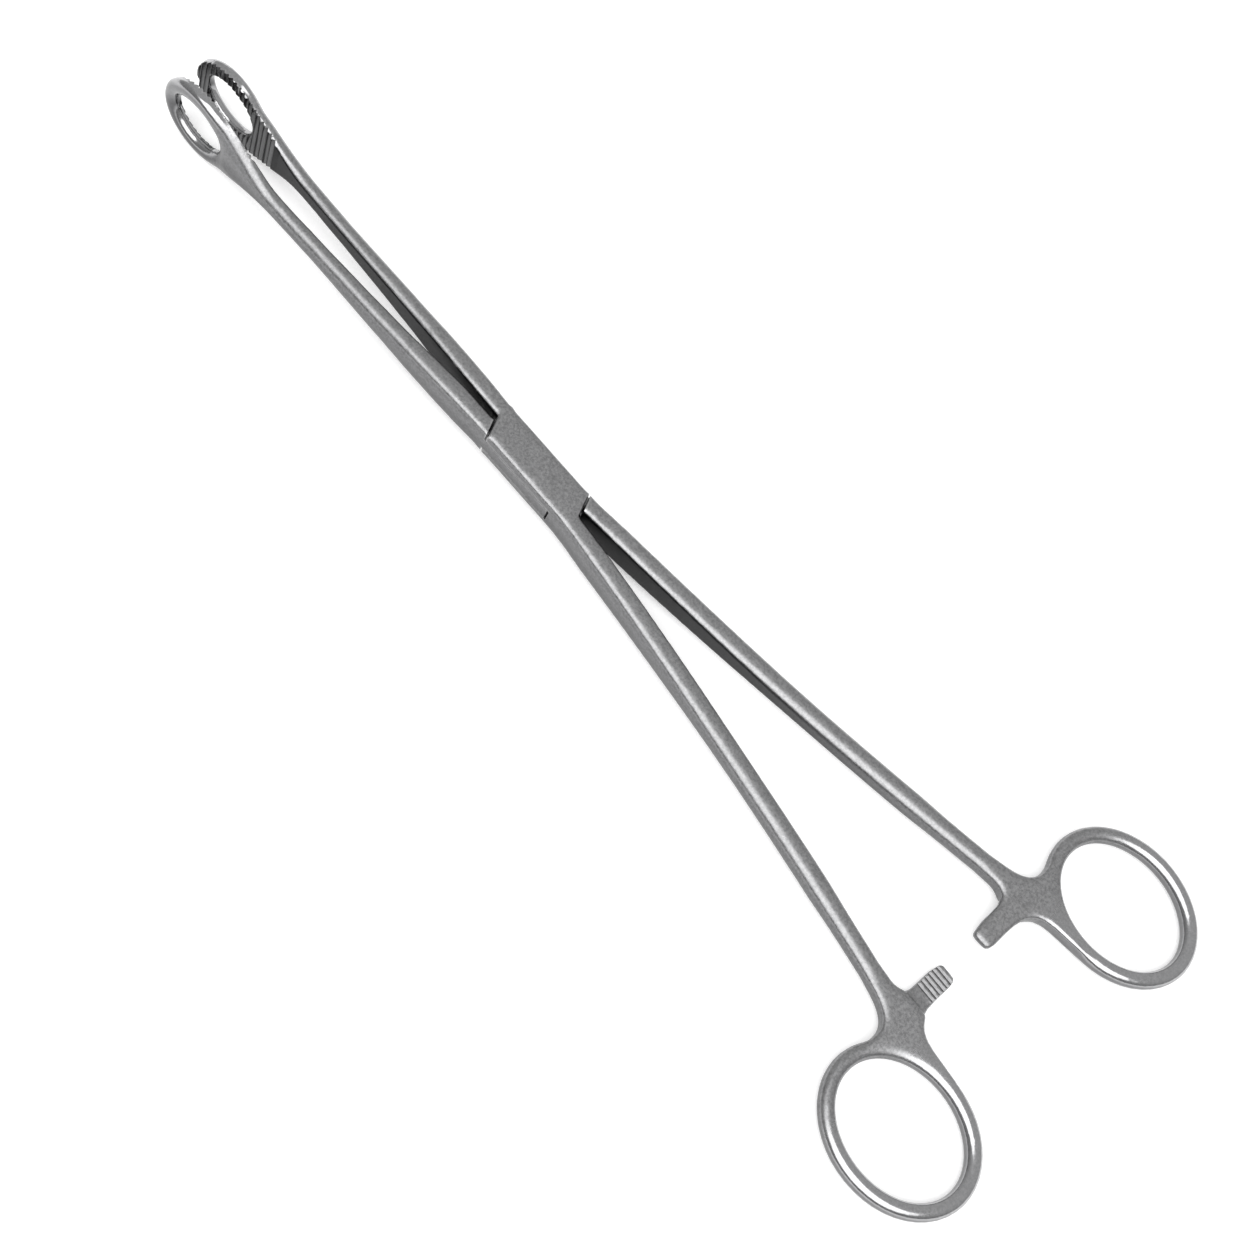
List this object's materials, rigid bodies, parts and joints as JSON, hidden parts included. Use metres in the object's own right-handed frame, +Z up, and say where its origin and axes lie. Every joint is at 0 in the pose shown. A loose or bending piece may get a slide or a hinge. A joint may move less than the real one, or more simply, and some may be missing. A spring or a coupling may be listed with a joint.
{
  "type": "sponge holding forceps",
  "caption": "Long hand-held forceps with crossing halves in a riveted box lock, oval serrated loop jaws, bowed handles, ratchet arms and finger rings, for holding swabs.",
  "frame": {"origin": "middle of the underside of the bounding box, on the surface that the forceps lies on", "axes": "+X along the forceps towards the finger rings, +Y towards the male half's ring, +Z up"},
  "size_m": [0.2486, 0.0898, 0.016],
  "materials": {
    "satin_steel": "satin stainless steel with polished edges",
    "pin_steel": "ground flush, satin"
  },
  "bodies": {
    "female": {"female_half": "satin_steel", "lock_pin": "pin_steel"},
    "male": {"male_half": "satin_steel"}
  },
  "joints": [
    {"name": "box_lock_hinge", "type": "hinge", "parent": "female", "child": "male", "pos_m": [-0.02267, 0, 0.00554], "axis": [0.0266, 0, 0.9996], "range_deg": [-3, 30]}
  ]
}
